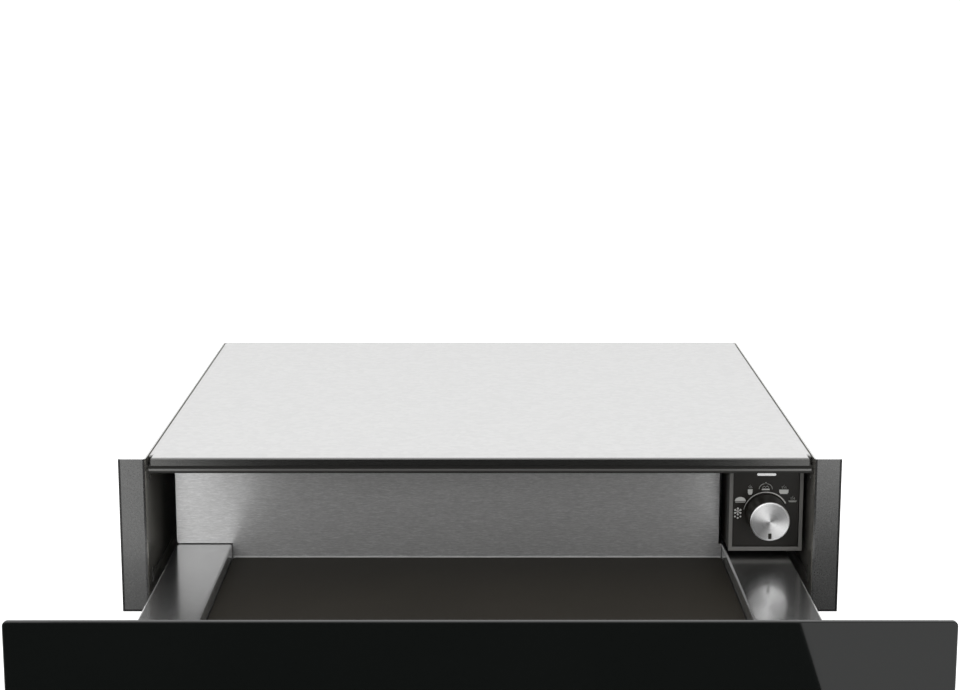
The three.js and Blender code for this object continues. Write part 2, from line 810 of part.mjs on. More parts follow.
function controlUnit() {
  const inX = [controlLeft + frameBar, controlRight - frameBar];
  const inZ = [controlLow + frameLowBar, controlHigh - frameBar];
  const rim = box([controlLeft, controlRight], [controlSetback, frameBack], [controlLow, controlHigh]);
  const window = box(inX, [controlSetback - frameDepth, frameBack + frameDepth], inZ);
  piece("control_frame", rim.subtract(window), "greyPlastic");

  const lampMiddle = [knobX, lampHigh - lampHeight / 2];
  const grow = ([low, high], by) => [low - by, high + by];
  const plate = box(grow(inX, -touch), [fasciaFront, frameBack], grow(inZ, -touch));
  const through = [fasciaFront - frameDepth, frameBack + frameDepth];
  piece("control_fascia", cut(plate, [
    rod([knobX, knobZ], bushRadius + touch, "xz", through),
    prism(slot(lampMiddle, lampWidth + 2 * touch, lampHeight + 2 * touch), "xz", through),
  ]), "blackPlastic");
  piece("lamp_lens",
    prism(slot(lampMiddle, lampWidth, lampHeight), "xz", [fasciaFront - touch, frameBack]), "lamp");

  const outX = [controlLeft + touch, controlRight];
  const outZ = [controlLow + touch, controlHigh];
  const shell = box(outX, [housingFront, housingBack], outZ);
  const hollow = box(grow(outX, -housingWall),
    [housingFront + housingWall, housingBack - housingWall], grow(outZ, -housingWall));
  const mouth = box(grow(outX, -housingRim), [housingFront - housingWall, housingFront + 2 * housingWall],
    grow(outZ, -housingRim));
  const cableHole = box(grow(ductX, -2 * housingWall),
    [housingBack - 2 * housingWall, housingBack + housingWall], grow(ductZ, -2 * housingWall));
  piece("control_housing", cut(shell, [hollow, mouth, cableHole]), "blackPlastic");

  const half = switchSize / 2;
  const body = box([knobX - half, knobX + half], [housingFront, housingFront + switchDepth],
    [knobZ - half, knobZ + half]);
  const bush = rod([knobX, knobZ], bushRadius, "xz", [fasciaFront + touch, housingFront + touch]);
  const bore = rod([knobX, knobZ], bushBore, "xz",
    [fasciaFront - touch, spindleFront + spindleLength + touch]);
  piece("rotary_switch", cut(body.add(bush), [bore]), "palePlastic");

  const boardY = housingFront + switchDepth + touch;
  piece("control_board", box(grow(outX, -boardMargin), [boardY, boardY + boardThickness],
    grow(outZ, -boardMargin)), "board");
}

const ductX = [controlRight - ductWidth, controlRight];
const ductZ = [controlHigh - ductHeight, controlHigh];

function cableDuct() {
  const range = [housingBack + touch, fanFront];
  const outer = box(ductX, range, ductZ);
  const inner = box([ductX[0] + housingWall, ductX[1] - housingWall],
    [range[0] - housingWall, range[1] + housingWall],
    [ductZ[0] + housingWall, ductZ[1] - housingWall]);
  piece("cable_duct", outer.subtract(inner), "greyPlastic");
}

function knob() {
  const faceBack = knobFront + knobFaceThickness;
  const profile = [
    [0, knobFront],
    [knobFaceRadius - knobFaceBevel, knobFront],
    [knobFaceRadius, knobFront + knobFaceBevel],
    [knobFaceRadius, faceBack],
    [0, faceBack],
  ].map(([r, y]) => new THREE.Vector2(r, y));
  const face = new THREE.LatheGeometry(profile, sides.fine);
  face.translate(knobX, 0, knobZ);
  const pointerX = [knobX - pointerWidth / 2, knobX + pointerWidth / 2];
  const pointerEnd = knobZ - knobFaceRadius + pointerInset;
  const pointerZ = [pointerEnd, pointerEnd + pointerLength];
  const pocket = box([pointerX[0] - touch, pointerX[1] + touch],
    [knobFront - pointerDepth, knobFront + pointerDepth + touch],
    [pointerZ[0] - touch, pointerZ[1] + touch]);
  piece("knob_face", solidOf(face).subtract(pocket), "aluminium");
  piece("knob_pointer", box(pointerX, [knobFront, knobFront + pointerDepth], pointerZ), "blackPlastic");

  const body = rod([knobX, knobZ], knobFaceRadius + knobSkirt, "xz",
    [faceBack + touch, knobBack], sides.fine);
  const socket = rod([knobX, knobZ], spindleRadius + touch, "xz",
    [knobBack - knobSocket, knobBack + knobGap]);
  piece("knob_body", body.subtract(socket), "blackPlastic");
  piece("knob_spindle", rod([knobX, knobZ], spindleRadius, "xz",
    [spindleFront, spindleFront + spindleLength]), "zincSteel");
}

// ---- Fan unit ----

function fanUnit() {
  const outX = [-fanHalfWidth, fanHalfWidth];
  const outZ = [fanLow, fanHigh];
  const shell = box(outX, [coverBack + touch, fanBack], outZ);
  const hollow = box([outX[0] + fanWall, outX[1] - fanWall], [fanFront, fanBackInner],
    [outZ[0] + fanWall, outZ[1] - fanWall]);
  const flange = box([-fanHalfWidth - fanFoot, fanHalfWidth + fanFoot], [coverBack + touch, fanBack],
    [fanLow, fanLow + fanWall]);
  const through = [fanBackInner - fanWall, fanBack + fanWall];
  const legs = [-1, 1].map((side) => rod([side * elementLegSpacing / 2, fanZ - ringRadius],
    elementRadius + touch, "xz", through, sides.small));
  const shaftHole = rod([0, fanZ], fanShaftRadius + 2 * shaftGap, "xz", through, sides.small);
  const airHoles = [];
  for (let i = 0; i < airHoleCount; i++) {
    const angle = Math.PI * (i + 0.5) / airHoleCount;
    const reach = (motorRadius + impellerRadius) / 2 + airHoleMargin;
    airHoles.push(rod([reach * Math.cos(angle), fanZ + reach * Math.sin(angle)],
      (impellerRadius - motorRadius) / 2 - airHoleMargin, "xz", through, sides.small));
  }
  piece("fan_housing", cut(shell.subtract(hollow).add(flange), [...legs, shaftHole, ...airHoles]),
    "zincSteel");

  const cover = box(outX, [fanFront, coverBack], outZ);
  const slots = [];
  const slotHalf = fanHalfWidth - coverMargin;
  const count = Math.floor((fanHigh - fanLow - 2 * coverMargin) / coverSlotPitch);
  for (let i = 0; i <= count; i++) {
    const z = fanZ + (i - count / 2) * coverSlotPitch;
    for (const side of [-1, 1]) {
      slots.push(prism(slot([side * slotHalf / 2, z], slotHalf - coverSlotPitch, coverSlotWidth),
        "xz", [fanFront - fanWall, coverBack + fanWall]));
    }
  }
  piece("fan_cover", cut(cover, slots), "zincSteel");

  const motor = rod([0, fanZ], motorRadius, "xz", [motorFront, rearSeat]);
  const motorBore = rod([0, fanZ], fanShaftRadius + shaftGap, "xz",
    [motorFront - fanWall, rearSeat - motorLength / 4], sides.small);
  piece("fan_motor", motor.subtract(motorBore), "darkSteel");
  piece("fan_shaft", rod([0, fanZ], fanShaftRadius, "xz",
    [impellerFront, rearSeat - motorLength / 4 - shaftGap], sides.small), "zincSteel");

  const hub = rod([0, fanZ], hubRadius, "xz", [impellerFront, impellerBack], sides.small);
  const disc = rod([0, fanZ], impellerRadius, "xz", [impellerBack - impellerSheet, impellerBack]);
  const impellerMiddle = (impellerFront + impellerBack) / 2;
  const blades = [];
  for (let i = 0; i < bladeCount; i++) {
    const blade = new THREE.BoxGeometry(bladeDepth, impellerLength - impellerSheet / 2, impellerSheet);
    blade.rotateY(THREE.MathUtils.degToRad(bladeLean));
    blade.translate(impellerRadius - bladeDepth / 2, impellerMiddle - impellerSheet / 4, 0);
    blade.rotateY(2 * Math.PI * i / bladeCount);
    blade.translate(0, 0, fanZ);
    blades.push(solidOf(blade));
  }
  const shaftBore = rod([0, fanZ], fanShaftRadius + touch, "xz",
    [impellerFront - fanWall, impellerBack + fanWall], sides.small);
  const trimmed = joined([hub, disc, ...blades])
    .intersect(rod([0, fanZ], impellerRadius, "xz", [impellerFront, impellerBack]));
  piece("fan_impeller", trimmed.subtract(shaftBore), "aluminium");

  const legX = elementLegSpacing / 2;
  const legEnd = fanBack + 2 * elementRadius;
  const start = Math.asin(legX / ringRadius);
  const route = [new THREE.Vector3(legX, legEnd, fanZ - ringRadius)];
  route.push(new THREE.Vector3(legX, fanBackInner - elementRadius, fanZ - ringRadius));
  const opening = start * elementOpening;
  const ringSteps = 24;
  for (let i = 0; i <= ringSteps; i++) {
    const angle = opening + 2 * (Math.PI - opening) * i / ringSteps;
    route.push(new THREE.Vector3(
      ringRadius * Math.sin(angle), impellerMiddle, fanZ - ringRadius * Math.cos(angle)));
  }
  route.push(new THREE.Vector3(-legX, fanBackInner - elementRadius, fanZ - ringRadius));
  route.push(new THREE.Vector3(-legX, legEnd, fanZ - ringRadius));
  const element = new THREE.ExtrudeGeometry(shapeOf(circle([0, 0], elementRadius, sides.tube)), {
    steps: elementSteps,
    extrudePath: new THREE.CatmullRomCurve3(route, false, "centripetal"),
  });
  piece("heater_element", solidOf(element), "darkSteel");

  const cutout = [fanHalfWidth - 2.5 * cutoutRadius, fanHigh - 2 * cutoutRadius];
  piece("thermal_cutout", rod(cutout, cutoutRadius, "xz",
    [fanBack + touch, fanBack + touch + cutoutDepth], sides.small), "blackPlastic");
}

// ---- Mains connection ----

function inletRangeX(clear) {
  return [inletX - inletWidth / 2 - clear, inletX + inletWidth / 2 + clear];
}

function inletRangeZ(clear) {
  return [zFloor + inletRise - clear, zFloor + inletRise + inletHeight + clear];
}

// The flange stands on the rear panel's outer face, and the body reaches in through the panel.
function mainsInlet() {
  const body = box(inletRangeX(0), [bodyDepth - inletDepth, inletBack], inletRangeZ(0));
  const flange = box(inletRangeX(inletFlange), [bodyDepth + touch, inletBack], inletRangeZ(inletFlange));
  const socket = box(inletRangeX(-inletWall), [bodyDepth - inletDepth + inletWall, inletBack + inletWall],
    inletRangeZ(-inletWall));
  const pins = [-1, 0, 1].map((i) => {
    const x = inletX + i * pinSpacing;
    const z = zFloor + inletRise + inletHeight / 2 + (i === 0 ? pinSize : -pinSize / 2);
    return box([x - pinSize / 2, x + pinSize / 2],
      [bodyDepth - inletDepth + inletWall / 2, bodyDepth - inletWall], [z - pinSize, z + pinSize]);
  });
  piece("mains_inlet", joined([body.add(flange).subtract(socket), ...pins]), "blackPlastic");
}

function terminalBlock() {
  const y = [rearSeat - 2 * blockDepth, rearSeat - blockDepth];
  const z = [zFloor + touch, zFloor + touch + blockHeight];
  const body = box([blockX - blockWidth / 2, blockX + blockWidth / 2], y, z);
  const cell = blockWidth / blockCells;
  const wells = [];
  for (let i = 0; i < blockCells; i++) {
    const x = blockX + (i - (blockCells - 1) / 2) * cell;
    wells.push(rod([x, (y[0] + y[1]) / 2], cell / 3, "xy",
      [z[1] - blockHeight / 3, z[1] + sheet], sides.small));
  }
  piece("terminal_block", cut(body, wells), "palePlastic");
}

// ---- Push-to-open latch ----

function latch() {
  const z = ledgeTop + latchRise;
  const strikerBack = wallBack + touch + strikerThickness;
  const headFront = strikerBack + travel + touch;
  const headBack = headFront + plungerHeadThickness;
  const bodyFront = rearSeat - latchDepth;
  const rodEnd = bodyFront + latchDepth / 2;
  const half = latchWidth / 2;
  const body = box([latchX - half, latchX + half], [bodyFront, rearSeat], [zFloor + touch, z + half]);
  const bore = rod([latchX, z], plungerRadius + shaftGap, "xz",
    [bodyFront - touch, rodEnd + latchStroke + touch]);
  piece("latch_body", body.subtract(bore), "blackPlastic");
  piece("latch_plunger", joined([
    rod([latchX, z], plungerHead, "xz", [headFront, headBack]),
    rod([latchX, z], plungerRadius, "xz", [headBack - touch, rodEnd]),
  ]), "palePlastic");
  piece("latch_striker", box([latchX - half, latchX + half], [wallBack + touch, strikerBack],
    [z - half / 2, z + half / 2]), "zincSteel");

  const from = headBack + touch + springWire;
  const to = bodyFront - touch - springWire;
  const coilRadius = plungerRadius + 2 * springWire + touch;
  class Helix extends THREE.Curve {
    getPoint(t, target = new THREE.Vector3()) {
      const angle = 2 * Math.PI * springTurns * t;
      return target.set(latchX + coilRadius * Math.cos(angle), from + (to - from) * t,
        z + coilRadius * Math.sin(angle));
    }
  }
  const spring = new THREE.ExtrudeGeometry(shapeOf(circle([0, 0], springWire, sides.wire)), {
    steps: springTurns * springTurnSteps,
    extrudePath: new Helix(),
  });
  piece("latch_spring", solidOf(spring), "zincSteel");
}

// ---- The whole drawer ----

carcassBase();
carcassTop();
carcassRear();
frontRail();
feet();
for (const side of [-1, 1]) {
  carcassSide(side);
  runnerBracket(side);
  runner(side);
  drawerCarrier(side);
  cornerBracket(side);
}
tray();
mat();
rearWall();
glassPanel();
backing();
bumpers();
controlUnit();
cableDuct();
knob();
fanUnit();
mainsInlet();
terminalBlock();
latch();

drawer.position.y = -(glassFront + inletBack) / 2;

export default drawer;
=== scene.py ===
import json
import math

import bmesh
import bpy
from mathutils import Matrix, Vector

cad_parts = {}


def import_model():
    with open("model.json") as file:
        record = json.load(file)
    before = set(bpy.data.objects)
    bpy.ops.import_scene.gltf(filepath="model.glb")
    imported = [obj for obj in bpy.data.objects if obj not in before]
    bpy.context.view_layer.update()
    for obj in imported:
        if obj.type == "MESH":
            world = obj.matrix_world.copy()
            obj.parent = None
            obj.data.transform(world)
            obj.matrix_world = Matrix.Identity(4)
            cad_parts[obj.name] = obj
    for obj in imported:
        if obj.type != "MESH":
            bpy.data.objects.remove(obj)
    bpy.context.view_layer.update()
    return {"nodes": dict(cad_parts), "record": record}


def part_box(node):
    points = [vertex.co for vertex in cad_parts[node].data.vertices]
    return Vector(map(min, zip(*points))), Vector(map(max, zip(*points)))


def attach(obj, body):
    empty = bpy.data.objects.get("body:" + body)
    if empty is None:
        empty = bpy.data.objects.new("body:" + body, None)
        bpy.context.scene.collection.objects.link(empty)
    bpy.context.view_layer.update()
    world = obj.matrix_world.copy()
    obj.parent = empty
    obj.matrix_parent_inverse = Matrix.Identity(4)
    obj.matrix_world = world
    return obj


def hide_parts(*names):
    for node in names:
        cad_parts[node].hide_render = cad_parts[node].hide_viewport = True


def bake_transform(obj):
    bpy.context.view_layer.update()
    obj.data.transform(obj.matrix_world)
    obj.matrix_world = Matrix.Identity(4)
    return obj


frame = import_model()

MM = 0.001


# ---- Places taken from the frame ----

def low(node):
    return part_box(node)[0]


def high(node):
    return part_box(node)[1]


def middle(node):
    return (low(node) + high(node)) / 2


KNOB = Vector((middle("knob_face").x, low("knob_face").y, middle("knob_face").z))
FASCIA_FRONT = low("control_fascia").y
WING_PLANE = low("carcass_side_left").y


# ---- Node helpers ----

class Nodes:
    """Builds one material's node tree. Links are made by passing a socket as an input's value."""

    def __init__(self, name):
        self.material = bpy.data.materials.new(name)
        self.material.use_nodes = True
        self.tree = self.material.node_tree
        self.shader = self.tree.nodes["Principled BSDF"]

    def put(self, kind, inputs=None, **properties):
        node = self.tree.nodes.new(kind)
        for key, value in properties.items():
            setattr(node, key, value)
        for key, value in (inputs or {}).items():
            self.feed(node.inputs[key], value)
        return node

    def feed(self, socket, value):
        if isinstance(value, bpy.types.NodeSocket):
            self.tree.links.new(value, socket)
        else:
            socket.default_value = value

    def set(self, **inputs):
        """Sets the shader's own inputs, which are named with _ for a space."""
        for key, value in inputs.items():
            self.feed(self.shader.inputs[key.replace("_", " ")], value)

    def math(self, operation, *values):
        node = self.put("ShaderNodeMath", dict(enumerate(values)), operation=operation)
        return node.outputs["Value"]

    def vector(self, operation, *values, output="Vector"):
        node = self.put("ShaderNodeVectorMath", dict(enumerate(values)), operation=operation)
        return node.outputs[output]

    def axis(self, letter, vector):
        return self.put("ShaderNodeSeparateXYZ", {"Vector": vector}).outputs[letter]

    def coordinates(self, source="Object"):
        return self.put("ShaderNodeTexCoord").outputs[source]

    def place(self, scale=(1, 1, 1)):
        """Coordinates in metres on the object, stretched by scale."""
        mapping = self.put("ShaderNodeMapping", {"Vector": self.coordinates()})
        mapping.inputs["Scale"].default_value = scale
        return mapping.outputs["Vector"]

    def noise(self, scale, detail=4, stretch=(1, 1, 1), roughness=0.6):
        node = self.put("ShaderNodeTexNoise", {
            "Vector": self.place(stretch), "Scale": scale, "Detail": detail,
            "Roughness": roughness})
        return node.outputs["Fac"]

    def ramp(self, factor, stops):
        node = self.put("ShaderNodeValToRGB", {"Fac": factor})
        elements = node.color_ramp.elements
        while len(elements) < len(stops):
            elements.new(0.5)
        for element, (position, colour) in zip(elements, stops):
            element.position = position
            element.color = colour
        return node.outputs["Color"]

    def span(self, factor, to_low, to_high, from_low=0.0, from_high=1.0):
        node = self.put("ShaderNodeMapRange", {
            "Value": factor, "From Min": from_low, "From Max": from_high,
            "To Min": to_low, "To Max": to_high})
        return node.outputs["Result"]

    def mix(self, factor, first, second, blend="MIX"):
        node = self.put("ShaderNodeMix", data_type="RGBA", blend_type=blend)
        self.feed(node.inputs[0], factor)
        self.feed(node.inputs[6], first)
        self.feed(node.inputs[7], second)
        return node.outputs[2]

    def bump(self, height, strength, distance, normal=None):
        node = self.put("ShaderNodeBump", {
            "Height": height, "Strength": strength, "Distance": distance})
        if normal is not None:
            self.feed(node.inputs["Normal"], normal)
        return node.outputs["Normal"]

    def drift(self, scale, colour, spread):
        """The colour, varying softly by the share that spread gives."""
        below, above = tinted(colour, 1 - spread), tinted(colour, 1 + spread)
        return self.ramp(self.noise(scale, 2), [(0.3, below), (0.7, above)])

    def soft_edges(self, radius=0.4 * MM):
        """Normals that turn gently over an edge, as on a folded or moulded part."""
        return self.put("ShaderNodeBevel", {"Radius": radius}, samples=4).outputs["Normal"]


def grey(value):
    return (value, value, value, 1)


def tinted(colour, factor):
    return (*(factor * part for part in colour), 1)


# ---- Finishes ----

GRAIN = (110, 1100, 1100)
FINE_GRAIN = (300, 3200, 3200)
GRAIN_AXIS = (1, 0.002, 0.003)   # a little off X, so that it crosses every face's normal
# Pale grey for painted highlights on edges and on the knob's rim.
PAINTED_EDGE_HIGHLIGHT = grey(0.86)


def brushed_steel(name, dark, pale, rough, uneven, stretch, cloud, depth, index):
    """Stainless steel brushed along X, so that its highlights run across the grain.

    dark and pale are the greys of the grain, cloud is the scale of its patches and depth their
    contrast. uneven is how far rough varies, and index belongs to the clear layer on top.
    """
    n = Nodes(name)
    grain = n.noise(1, 5, GRAIN, 0.8)
    streaks = n.math("MULTIPLY_ADD", grain, n.noise(1, 3, FINE_GRAIN), 0.22)
    tone = n.ramp(streaks, [(0.40, grey(dark)), (0.68, grey(pale))])
    patches = n.span(n.noise(1, 3, cloud, 0.7), 1 - depth, 1 + depth, 0.3, 0.7)
    tone = n.mix(1.0, tone, patches, "MULTIPLY")
    normal = n.put("ShaderNodeNewGeometry").outputs["Normal"]
    # Painted highlight: the tone turns pale where the bevel's normal leaves the face's, along
    # edges.
    flatness = n.vector("DOT_PRODUCT", normal, n.soft_edges(0.9 * MM), output="Value")
    tone = n.mix(n.span(flatness, 1, 0, 0.90, 0.99), tone, PAINTED_EDGE_HIGHLIGHT)
    sideways = n.math("ABSOLUTE", n.axis("X", normal))
    n.set(Base_Color=tone, Metallic=n.span(sideways, 1, 0.65, 0.7, 0.9),
          Roughness=n.span(grain, rough - uneven, rough + uneven, 0.3, 0.7),
          Anisotropic=stretch, Tangent=n.vector("CROSS_PRODUCT", normal, GRAIN_AXIS),
          Coat_Weight=1.0, Coat_Roughness=0.12, Coat_IOR=index,
          Normal=n.bump(grain, 0.03, 0.1 * MM, n.soft_edges(0.6 * MM)))
    return n.material


def powder_coat(name="dark_steel", colour=(0.122, 0.1225, 0.121), metal=0.72, bare_edge_painted_light_above=None,
                sideways_painted_light=None, lip_painted_light_below=None):
    """Coated sheet. Where a height is given for the sheared top edge, the edge above it shows
    uncoated zinc, painted pale as painted light.

    Faces that look sideways can take a paler colour, as painted light. Below a given height, as on
    the rail's lower lip, the colour is paler and shines less, as painted light.
    """
    n = Nodes(name)
    pimple = n.noise(1900, 2)
    tone = n.drift(6, colour, 0.07)
    tone = n.mix(1.0, tone, n.span(n.noise(900, 3), 0.88, 1.12, 0.3, 0.7), "MULTIPLY")
    # Painted light: faces that look sideways, such as the inner faces of the sides, take a paler
    # colour.
    if sideways_painted_light is not None:
        sideways = n.math("ABSOLUTE", n.axis("X", n.coordinates("Normal")))
        tone = n.mix(n.span(sideways, 0, 1, 0.7, 0.9), tone, (*sideways_painted_light, 1))
    # Uncoated zinc on the sheared top edge, in a pale grey that is partly painted light.
    if bare_edge_painted_light_above is not None:
        bare_edge_painted_light = n.math("GREATER_THAN", n.axis("Z", n.coordinates()), bare_edge_painted_light_above)
        tone = n.mix(bare_edge_painted_light, tone, grey(0.82))
    # Painted light: below this height the colour is paler and less metallic, so that the lip looks
    # lit.
    if lip_painted_light_below is not None:
        lip_painted_light = n.math("LESS_THAN", n.axis("Z", n.coordinates()), lip_painted_light_below)
        tone = n.mix(lip_painted_light, tone, (0.158, 0.157, 0.151, 1))
        metal = n.span(lip_painted_light, metal, 0.25)
    n.set(Base_Color=tone, Metallic=metal, Roughness=n.span(pimple, 0.21, 0.28),
          Normal=n.bump(pimple, 0.06, 0.15 * MM, n.soft_edges()))
    return n.material


def zinc_sheet(name="zinc_steel", colour=(0.60, 0.605, 0.61), rough=0.38, metal=0.95):
    """Zinc-coated sheet. A low metal makes it shine less, and with a pale colour it is painted
    light on the top plate.
    """
    n = Nodes(name)
    spangle = n.put("ShaderNodeTexVoronoi", {"Vector": n.place(), "Scale": 210})
    flake = n.put("ShaderNodeSeparateColor", {"Color": spangle.outputs["Color"]}).outputs["Red"]
    roll = n.noise(1, 4, (900, 12, 900))
    n.set(Base_Color=n.mix(flake, tinted(colour, 0.97), tinted(colour, 1.04)), Metallic=metal,
          Roughness=n.span(flake, rough - 0.03, rough + 0.03), Specular_IOR_Level=0.2,
          Normal=n.bump(roll, 0.03, 0.1 * MM, n.soft_edges()))
    return n.material


def rubber(name="rubber", colour=(0.0222, 0.0194, 0.0150), grain=1300, rough=0.62):
    n = Nodes(name)
    fine = n.noise(grain, 3)
    tone = n.ramp(n.noise(7, 2), [(0.3, tinted(colour, 0.9)), (0.7, tinted(colour, 1.12))])
    n.set(Base_Color=tone, Roughness=n.span(fine, rough - 0.08, rough + 0.08),
          Specular_IOR_Level=0.10, Normal=n.bump(fine, 0.2, 0.2 * MM))
    return n.material


def black_glass(name="black_glass"):
    n = Nodes(name)
    haze = n.noise(5, 3)
    tone = n.ramp(haze, [(0.3, (0.0062, 0.0073, 0.0068, 1)), (0.7, (0.0072, 0.0083, 0.0078, 1))])
    n.set(Base_Color=tone, Roughness=n.span(haze, 0.02, 0.04), IOR=1.40,
          Normal=n.soft_edges(0.3 * MM))
    return n.material


def plastic(name, colour, rough=0.35, grain=1500, depth=0.12, shine=0.5):
    n = Nodes(name)
    fine = n.noise(grain, 2)
    n.set(Base_Color=n.drift(25, colour, 0.08), Roughness=n.span(fine, rough - 0.05, rough + 0.05),
          Specular_IOR_Level=shine, Normal=n.bump(fine, depth, 0.1 * MM, n.soft_edges()))
    return n.material


def bezel_painted_shade(name="bezel_painted_shade", face=(0.205, 0.200, 0.189), body=(0.015, 0.0143, 0.0125)):
    """Grey on the face; the other faces are near black, as painted shade."""
    n = Nodes(name)
    fine = n.noise(1500, 2)
    # Painted shade: faces that don't look forward take the near-black body colour.
    painted = n.span(n.axis("Y", n.coordinates("Normal")), 1, 0, -0.8, -0.5)
    n.set(Base_Color=n.mix(painted, (*body, 1), n.drift(25, face, 0.08)),
          Roughness=n.span(fine, 0.37, 0.47),
          Normal=n.bump(fine, 0.12, 0.1 * MM, n.soft_edges()))
    return n.material


KNOB_RIM = 16 * MM
KNOB_HIGHLIGHT = 118       # degrees from the right, of the brightest line of the painted highlight fan
KNOB_TONES = [(0.0, grey(0.26)), (0.25, grey(0.46)), (0.5, grey(0.65)), (0.9, grey(0.95))]


def turned_aluminium(name="aluminium"):
    """Aluminium turned about the knob's axis, with rings, a painted fan of highlights and a
    painted highlight on its rim.
    """
    n = Nodes(name)
    centred = n.vector("SUBTRACT", n.coordinates(), KNOB)
    flat = n.vector("MULTIPLY", centred, (1, 0, 1))
    radius = n.vector("LENGTH", flat, output="Value")
    rings = n.put("ShaderNodeTexNoise", {"W": radius, "Scale": 5200.0, "Detail": 2.0},
                  noise_dimensions="1D").outputs["Fac"]
    parts = n.put("ShaderNodeSeparateXYZ", {"Vector": flat})
    angle = n.math("ARCTAN2", parts.outputs["Z"], parts.outputs["X"])
    # Painted highlight and shade: light and dark wedges in a twofold fan round the axis.
    twice = n.math("MULTIPLY_ADD", angle, 2, math.radians(-2 * KNOB_HIGHLIGHT))
    twofold = n.span(n.math("COSINE", twice), 0, 1, -1, 1)
    # Painted highlight and shade: the right side is lighter and the left darker.
    sideways = n.span(parts.outputs["X"], -0.21, 0.21, -14 * MM, 14 * MM)
    fan = n.ramp(n.math("ADD", twofold, sideways), KNOB_TONES)
    tone = n.mix(0.18, fan, n.ramp(rings, [(0.3, grey(0.35)), (0.7, grey(0.85))]))
    # Painted highlight: a pale ring round the face's rim.
    rim_painted_highlight = n.span(radius, 0, 1, KNOB_RIM - 0.1 * MM, KNOB_RIM + 0.1 * MM)
    tangent = n.put("ShaderNodeVectorTransform",
                    {"Vector": n.vector("CROSS_PRODUCT", flat, (0, 1, 0))},
                    vector_type="VECTOR", convert_from="OBJECT", convert_to="WORLD")
    n.set(Base_Color=n.mix(rim_painted_highlight, tone, PAINTED_EDGE_HIGHLIGHT), Metallic=1.0,
          Roughness=n.span(rings, 0.24, 0.34), Anisotropic=0.8, Tangent=tangent.outputs["Vector"],
          Normal=n.bump(rings, 0.05, 0.1 * MM, n.soft_edges(0.5 * MM)))
    return n.material


def lamp_diffuser(name="lamp"):
    n = Nodes(name)
    tone = n.ramp(n.noise(900, 2), [(0.3, grey(0.85)), (0.7, grey(0.92))])
    n.set(Base_Color=tone, Roughness=0.35, Emission_Color=grey(1), Emission_Strength=0.4)
    return n.material


def circuit_board(name="board"):
    n = Nodes(name)
    cell = n.put("ShaderNodeTexVoronoi", {"Vector": n.place((1, 0, 1)), "Scale": 260},
                 feature="DISTANCE_TO_EDGE")
    track = n.span(cell.outputs["Distance"], 0, 1, 0.03, 0.08)
    n.set(Base_Color=n.mix(track, (0.05, 0.17, 0.08, 1), (0.018, 0.095, 0.04, 1)),
          Roughness=n.span(track, 0.35, 0.5))
    return n.material


RAIL_LIP = 3.75 * MM       # height of the rail's lower lip, painted paler as painted light

MATERIALS = {
    "dark_steel": powder_coat(),
    # The sides: a pale sheared top edge and paler faces that look sideways, both painted light.
    "side_steel": powder_coat("side_steel", bare_edge_painted_light_above=high("carcass_side_left").z - 0.1 * MM,
                              sideways_painted_light=(0.40, 0.387, 0.35)),
    "rail_steel": powder_coat("rail_steel", (0.101, 0.101, 0.098), 0.92,
                              lip_painted_light_below=low("front_rail").z + RAIL_LIP),
    # Near black, for the painted shade on the wings' edges.
    "edge_painted_shade": powder_coat("edge_painted_shade", (0.026, 0.026, 0.026)),
    "zinc_steel": zinc_sheet(),
    # Painted light: the top plate takes a paler copy of the zinc, so that it looks brightly lit.
    "zinc_painted_light": zinc_sheet("zinc_painted_light", (0.75, 0.75, 0.747), 0.45, 0.3),
    "brushed_steel": brushed_steel("brushed_steel", dark=0.34, pale=0.54, rough=0.24, uneven=0.03,
                                   stretch=0.6, cloud=(750, 330, 750), depth=0.11, index=1.7),
    # Painted light: the rear wall takes a paler copy of the tray's brushed steel.
    "wall_steel_painted_light": brushed_steel("wall_steel_painted_light", dark=0.50, pale=0.76, rough=0.41, uneven=0.05,
                                  stretch=0.66, cloud=(200, 900, 900), depth=0.08, index=1.6),
    "rubber": rubber(),
    # Near-black rubber for the rail's seal and for the painted shade under its lip.
    "seal_and_shade_rubber": rubber("seal_and_shade_rubber", (0.030, 0.0294, 0.0275), 900, 0.7),
    "black_glass": black_glass(),
    "black_plastic": plastic("black_plastic", (0.0118, 0.0098, 0.0066), shine=0.36),
    "grey_plastic": plastic("grey_plastic", (0.155, 0.152, 0.145), 0.42),
    "pale_plastic": plastic("pale_plastic", (0.62, 0.61, 0.56), 0.45),
    "bezel_painted_shade": bezel_painted_shade(),
    "core": plastic("core", (0.26, 0.23, 0.18), 0.8, 400, 0.5),
    "lamp": lamp_diffuser(),
    "board": circuit_board(),
    "aluminium": turned_aluminium(),
    # Pale plastic for the painted highlight on the wall's foot bead.
    "bead_painted_highlight": plastic("bead_painted_highlight", (0.62, 0.62, 0.61), 0.3),
    "print": plastic("print", (0.80, 0.80, 0.77), 0.5),
    "faint_print": plastic("faint_print", (0.42, 0.42, 0.40), 0.5),
}

# A node takes its slot's material, apart from these.
FINISHES = {"drawer_rear_wall": "wall_steel_painted_light", "front_rail": "rail_steel",
            "carcass_side_left": "side_steel", "carcass_side_right": "side_steel",
            "carcass_top": "zinc_painted_light", "control_frame": "bezel_painted_shade"}
SLOTS = {row["node"]: row["material_slot"] for row in frame["record"]["subparts"]}
for node, solid in frame["nodes"].items():
    solid.data.materials.clear()
    solid.data.materials.append(MATERIALS[FINISHES.get(node, SLOTS[node])])


# ---- Pieces ----

